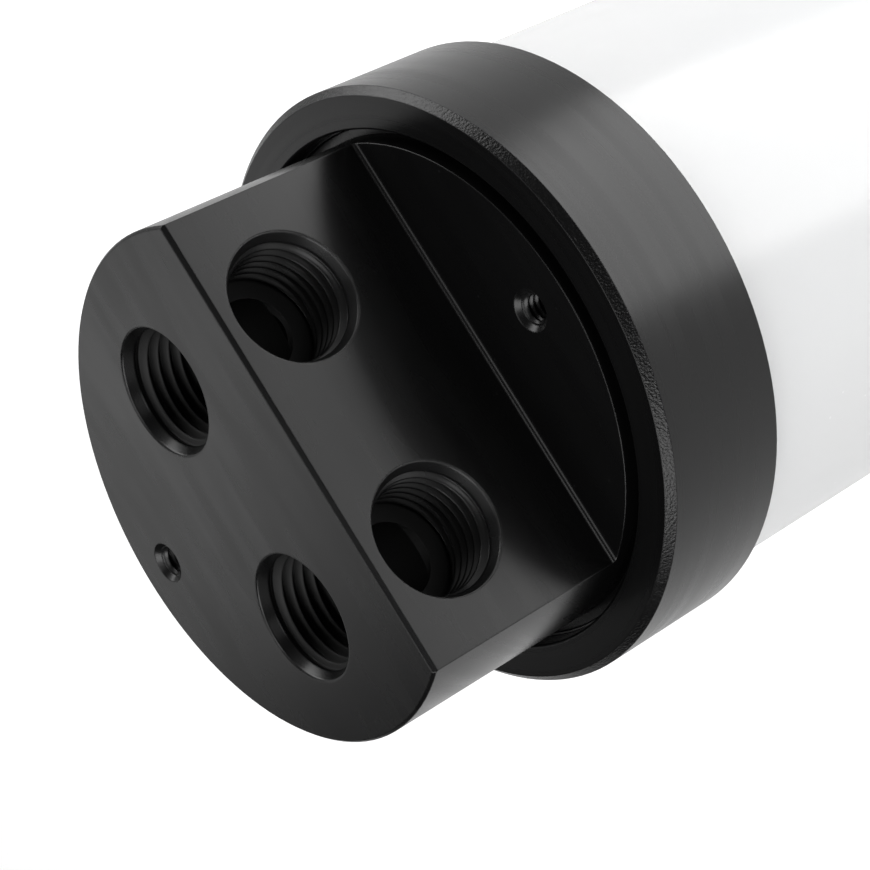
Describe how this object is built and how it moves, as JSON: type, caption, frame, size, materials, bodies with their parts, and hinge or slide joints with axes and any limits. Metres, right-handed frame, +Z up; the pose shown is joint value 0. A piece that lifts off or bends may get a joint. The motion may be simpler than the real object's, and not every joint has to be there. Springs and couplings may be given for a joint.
{
  "type": "coolant pump reservoir",
  "caption": "Upright tube reservoir for coolant with a threaded port head on top and a pump at its foot.",
  "frame": {"origin": "on the tube's axis, at the bottom of the pump's back cover, on which the object stands", "axes": "+Z up along the tube; the nose's flat and the outlet face -Y; +X to the right of someone who looks at the flat"},
  "size_m": [0.084, 0.084, 0.262],
  "materials": {
    "head_plastic": "black acetal, turned and milled, satin",
    "collar_plastic": "black acetal, fine turned, satin",
    "seal_rubber": "black rubber",
    "tube_opal": "opal white, polished",
    "tube_clear": "clear acrylic",
    "insert_plastic": "moulded black",
    "clamp_metal": "black anodised",
    "screw_steel": "black oxide steel",
    "motor_plastic": "moulded, fine texture",
    "cup_steel": "deep-drawn stainless",
    "ball_ceramic": "polished ceramic",
    "bearing_carbon": "carbon",
    "impeller_plastic": "moulded, natural",
    "magnet_ferrite": "coated ferrite",
    "core_steel": "stacked sheets",
    "coil_copper": "enamelled copper wire",
    "board_green": "solder mask",
    "part_black": "moulded",
    "control_blue": "moulded",
    "dial_red": "moulded"
  },
  "bodies": {
    "reservoir": {"port_block": "head_plastic", "head_collar": "collar_plastic", "head_o_ring": "seal_rubber", "reservoir_tube": "tube_opal", "drop_tube": "tube_clear", "drop_tube_seal": "seal_rubber", "vortex_insert": "insert_plastic", "base_collar": "collar_plastic", "base_o_ring": "seal_rubber", "pump_base": "head_plastic", "flange_o_ring": "seal_rubber", "clamp_ring": "clamp_metal", "clamp_screws": "screw_steel", "motor_housing": "motor_plastic", "separation_cup": "cup_steel", "bearing_post": "cup_steel", "bearing_ball": "ball_ceramic", "stator_core": "core_steel", "stator_coils": "coil_copper", "control_board": "board_green", "board_parts": "part_black", "speed_control": "control_blue", "back_cover": "motor_plastic", "cover_screws": "screw_steel", "cable_gland": "seal_rubber"},
    "rotor": {"impeller": "impeller_plastic", "rotor_magnet": "magnet_ferrite", "bearing_cup": "bearing_carbon"},
    "dial": {"speed_dial": "dial_red"}
  },
  "joints": [
    {"name": "rotor_spin", "type": "hinge", "parent": "reservoir", "child": "rotor", "pos_m": [0, 0, 0.0448], "axis": [0, 0, 1], "continuous": true},
    {"name": "dial_turn", "type": "hinge", "parent": "reservoir", "child": "dial", "pos_m": [0, -0.012, 0], "axis": [0, 0, -1], "range_deg": [0, 240]}
  ]
}
